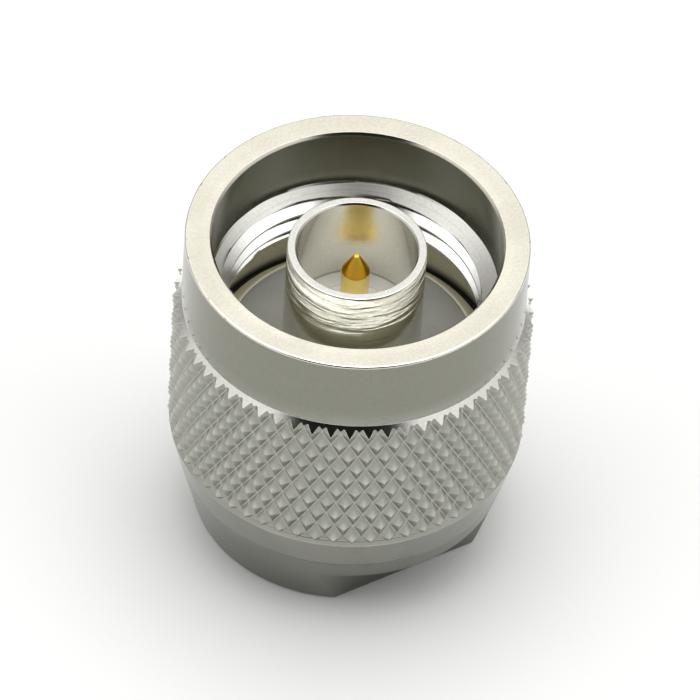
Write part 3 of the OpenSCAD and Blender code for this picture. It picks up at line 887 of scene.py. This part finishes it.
cut_rib = place_node(tree, "GeometryNodeSetPosition", Geometry=swept.outputs[0],
                     Position=cut_back.outputs[0])
joined = place_node(tree, "GeometryNodeRealizeInstances", Geometry=cut_rib.outputs[0])
dressed = place_node(tree, "GeometryNodeSetMaterial", Geometry=joined.outputs[0],
                     Material=given["Finish"])
tree.links.new(dressed.outputs[0], result[0])
thread_mesh = grown(
    bpy.data.meshes.new("nut_thread"), tree, Pitch=THREAD_PITCH * MM, Turns=THREAD_TURNS,
    Root_Radius=THREAD_ROOT * MM, Crest_Radius=THREAD_CREST * MM, Start=THREAD_START * MM,
    Lead_In_Radius=MOUTH * MM, Lead_In_Top=LEAD_IN_TOP * MM, Lead_In_Slope=lead_slope,
    Relief_Radius=RELIEF * MM, Relief_End=RELIEF_TOP * MM, Relief_Slope=relief_slope,
    Lift=THREAD_LIFT * MM, Finish=nut_finish)

nut_corners = [
    (COLLAR + NEAR, CHAMFER_TOP - NEAR, 0),
    (COLLAR, CHAMFER_TOP, 0),
    (COLLAR, RIM, 0.12),
    (MOUTH + RIM_BREAK, RIM, 0.015),
    (MOUTH, RIM - RIM_BREAK, 0.015),
    (MOUTH, LEAD_IN_TOP, 0.05),
    (THREAD_ROOT, LEAD_IN_TOP - (MOUTH - THREAD_ROOT) / lead_slope, 0),
    (THREAD_ROOT, RELIEF_TOP + (RELIEF - THREAD_ROOT) / relief_slope, 0),
    (RELIEF, RELIEF_TOP, 0.05),
    (RELIEF, RELIEF_FLOOR, 0.1),
    (NUT_BORE, RELIEF_FLOOR, 0.03),
    (NUT_BORE, RING_HIGH, 0.03),
    (NUT_GROOVE, RING_HIGH, 0.05),
    (NUT_GROOVE, NUT_GROOVE_LOW, 0.05),
    (NUT_BORE, NUT_GROOVE_LOW, 0.03),
    (NUT_BORE, NUT_LEAD_TOP, 0.03),
    (NUT_LEAD, NUT_FOOT, 0.03),
    (tail(NUT_FOOT), NUT_FOOT, 0.02),
    (*TAIL_SHOULDER, 0.1),
    (TAIL_TOP_RADIUS, TAIL_TOP, 0.03),
    (TAIL_TOP_RADIUS - TAIL_LEDGE, TAIL_TOP, 0),
]
nut_turns = spread(0, FULL_TURN, NUT_COLUMNS)
nut_bm, rings = turned(eased(nut_corners), nut_turns, closed=False)
foot_ring, tail_ring = rings[0], rings[-1]
shell_count = len(nut_bm.verts)


def leaned(bm, way):
    """Lifts each point by its distance from the axis, or lowers it, so that a cone of 45 degrees
    becomes a plane."""
    for vert in bm.verts:
        vert.co.z += way * vert.co.xy.length


def cut_off(bm, height, side):
    """Cuts away what lies above a height in mm (side 1), or below it (side -1)."""
    bmesh.ops.bisect_plane(bm, geom=bm.verts[:] + bm.edges[:] + bm.faces[:], dist=CUT_WITHIN,
                           plane_co=(0, 0, height * MM), plane_no=(0, 0, side), clear_outer=True)


def take_in(bm, part, name):
    """Adds one mesh in the making to another, and lets go of it."""
    mesh = bpy.data.meshes.new(name)
    part.to_mesh(mesh)
    part.free()
    bm.from_mesh(mesh)


def zipped(bm, first, second):
    """Closes the flat ring between two loops of points, moving on along the loop that is behind."""
    def angle_of(vert):
        return math.atan2(vert.co.y, vert.co.x) % FULL_TURN

    loops = [sorted(loop, key=angle_of) for loop in (first, second)]
    at = [0, 0]
    while at[0] < len(loops[0]) or at[1] < len(loops[1]):
        ahead = []
        for loop, k in zip(loops, at):
            after = k + 1
            ahead.append(angle_of(loop[after % len(loop)]) + FULL_TURN * (after >= len(loop))
                         if k < len(loop) else math.inf)
        move = 0 if ahead[0] <= ahead[1] else 1
        here = [loop[k % len(loop)] for loop, k in zip(loops, at)]
        following = loops[move][(at[move] + 1) % len(loops[move])]
        bm.faces.new((*here, following)).smooth = True
        at[move] += 1


knurl_part = bmesh.new()
knurl_part.from_mesh(knurl_mesh)
leaned(knurl_part, 1)
cut_off(knurl_part, COLLAR + CHAMFER_TOP, 1)
leaned(knurl_part, -1)
cut_off(knurl_part, TAIL_TOP, -1)
bmesh.ops.dissolve_degenerate(knurl_part, edges=knurl_part.edges, dist=CUT_WITHIN)
take_in(nut_bm, knurl_part, "cut_knurl")
nut_bm.verts.ensure_lookup_table()
nut_bm.verts.index_update()
knurl_rim = [v for v in nut_bm.verts[shell_count:] if v.is_boundary]
edge_mark = nut_bm.verts.layers.float["edge"]
for vert in knurl_rim:
    vert[edge_mark] = 0.0
for face in nut_bm.faces:
    face.smooth = min(v.index for v in face.verts) < shell_count
zipped(nut_bm, foot_ring, [v for v in knurl_rim if v.co.z > KNURL_MIDDLE * MM])
zipped(nut_bm, tail_ring, [v for v in knurl_rim if v.co.z < KNURL_MIDDLE * MM])

run_out = [(TAIL_TOP_RADIUS, TAIL_TOP, 0.0), (RUN_OUT_RADIUS, TAIL_TOP + RUN_OUT_RISE, 0.0),
           (RUN_OUT_RADIUS, TAIL_TOP, 0.0)]
take_in(nut_bm, turned(run_out, nut_turns, closed=True)[0], "knurl_run_out")
bmesh.ops.recalc_face_normals(nut_bm, faces=nut_bm.faces)

thread_part = bmesh.new()
thread_part.from_mesh(thread_mesh)
bmesh.ops.recalc_face_normals(thread_part, faces=thread_part.faces)
for face in thread_part.faces:
    face.smooth = True
take_in(nut_bm, thread_part, "cut_thread")

nut = piece_of(nut_bm, "knurled_nut", nut_finish)
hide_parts("coupling_nut")
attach(nut, "nut")


# Floor, light and camera: a pale tabletop under a wide white light tent that is open towards the
# camera, which is why polished metal shows a dark patch there. The camera looks down into the mouth
# from the photograph's angle. A patch of light is (outer and inner angle, level beyond and within).
FLOOR_RADIUS = 0.6
FLOOR_COLUMNS = 96
FLOOR_SHADE = (0.96, 0.96, 0.96, 1)
AZIMUTH = math.radians(-32.5)
ELEVATION = math.radians(47.65)
ROLL = math.radians(3.97)
DISTANCE = 500 * MM
AIM_RIGHT = -0.455
AIM_UP = -6.376
BEHIND_AZIMUTH = AZIMUTH + math.pi
LAMP_ELEVATION = math.radians(78)
SIDE_TURN = math.radians(73)
SIDE_ELEVATION = math.radians(22)
CLOTH = (68, 30, 0.34, 1.06)
LAMP = (28, 14, 1.0, 2.8)
BEHIND = (150, 30, 0.80, 1.10)
OPENING = (34, 21, 1.0, 0.02)
SIDE = (48, 15, 1.0, 2.1)
LIGHT_SHADE = (1.0, 0.995, 0.98, 1)

floor_bm = bmesh.new()
bmesh.ops.create_circle(floor_bm, cap_ends=True, segments=FLOOR_COLUMNS, radius=FLOOR_RADIUS)
floor_finish = bpy.data.materials.new("pale_floor")
floor_finish.use_nodes = True
feed(floor_finish.node_tree, floor_finish.node_tree.nodes["Principled BSDF"],
     Base_Color=FLOOR_SHADE, Roughness=1.0, Specular_IOR_Level=0.0)
floor = piece_of(floor_bm, "floor", floor_finish)


def direction(azimuth, elevation):
    """The direction at an azimuth from the front, to the right, and at an elevation."""
    return Vector((math.sin(azimuth) * math.cos(elevation),
                   -math.cos(azimuth) * math.cos(elevation), math.sin(elevation)))


def patch(tree, ray, centre, outer, inner, beyond, within):
    """A value that eases from one level to another inside a cone of directions."""
    facing = place_node(tree, "ShaderNodeVectorMath", {"operation": "DOT_PRODUCT"})
    tree.links.new(ray, facing.inputs[0])
    facing.inputs[1].default_value = centre
    return graded(tree, facing.outputs["Value"], math.cos(math.radians(outer)),
                  math.cos(math.radians(inner)), beyond, within)


towards = direction(AZIMUTH, ELEVATION)
world = bpy.data.worlds.new("light_tent")
world.use_nodes = True
bpy.context.scene.world = world
tree = world.node_tree
ray = tree.nodes.new("ShaderNodeTexCoord").outputs["Generated"]
patches = []
for azimuth, elevation, levels in (
        (BEHIND_AZIMUTH, LAMP_ELEVATION, CLOTH), (BEHIND_AZIMUTH, LAMP_ELEVATION, LAMP),
        (BEHIND_AZIMUTH, ELEVATION, BEHIND), (AZIMUTH, ELEVATION, OPENING),
        (AZIMUTH - SIDE_TURN, SIDE_ELEVATION, SIDE), (AZIMUTH + SIDE_TURN, SIDE_ELEVATION, SIDE)):
    patches.append(patch(tree, ray, direction(azimuth, elevation), *levels))
feed(tree, tree.nodes["Background"], Color=LIGHT_SHADE, Strength=product(tree, *patches))

level_right = direction(AZIMUTH + math.pi / 2, 0)
level_up = towards.cross(level_right)
right = level_right * math.cos(ROLL) + level_up * math.sin(ROLL)
up = level_up * math.cos(ROLL) - level_right * math.sin(ROLL)
aim = Vector((0, 0, RIM * MM)) + right * (AIM_RIGHT * MM) + up * (AIM_UP * MM)
camera = bpy.data.objects.new("camera", bpy.data.cameras.new("camera"))
bpy.context.scene.collection.objects.link(camera)
camera.data.lens = 446.4
camera.data.sensor_width = 36.0
camera.data.clip_start = 0.01
camera.data.clip_end = 10.0
turned_to_aim = Matrix((right, up, towards)).transposed().to_4x4()
camera.matrix_world = Matrix.Translation(aim + towards * DISTANCE) @ turned_to_aim
bpy.context.scene.camera = camera
bpy.context.scene.view_settings.view_transform = "Standard"
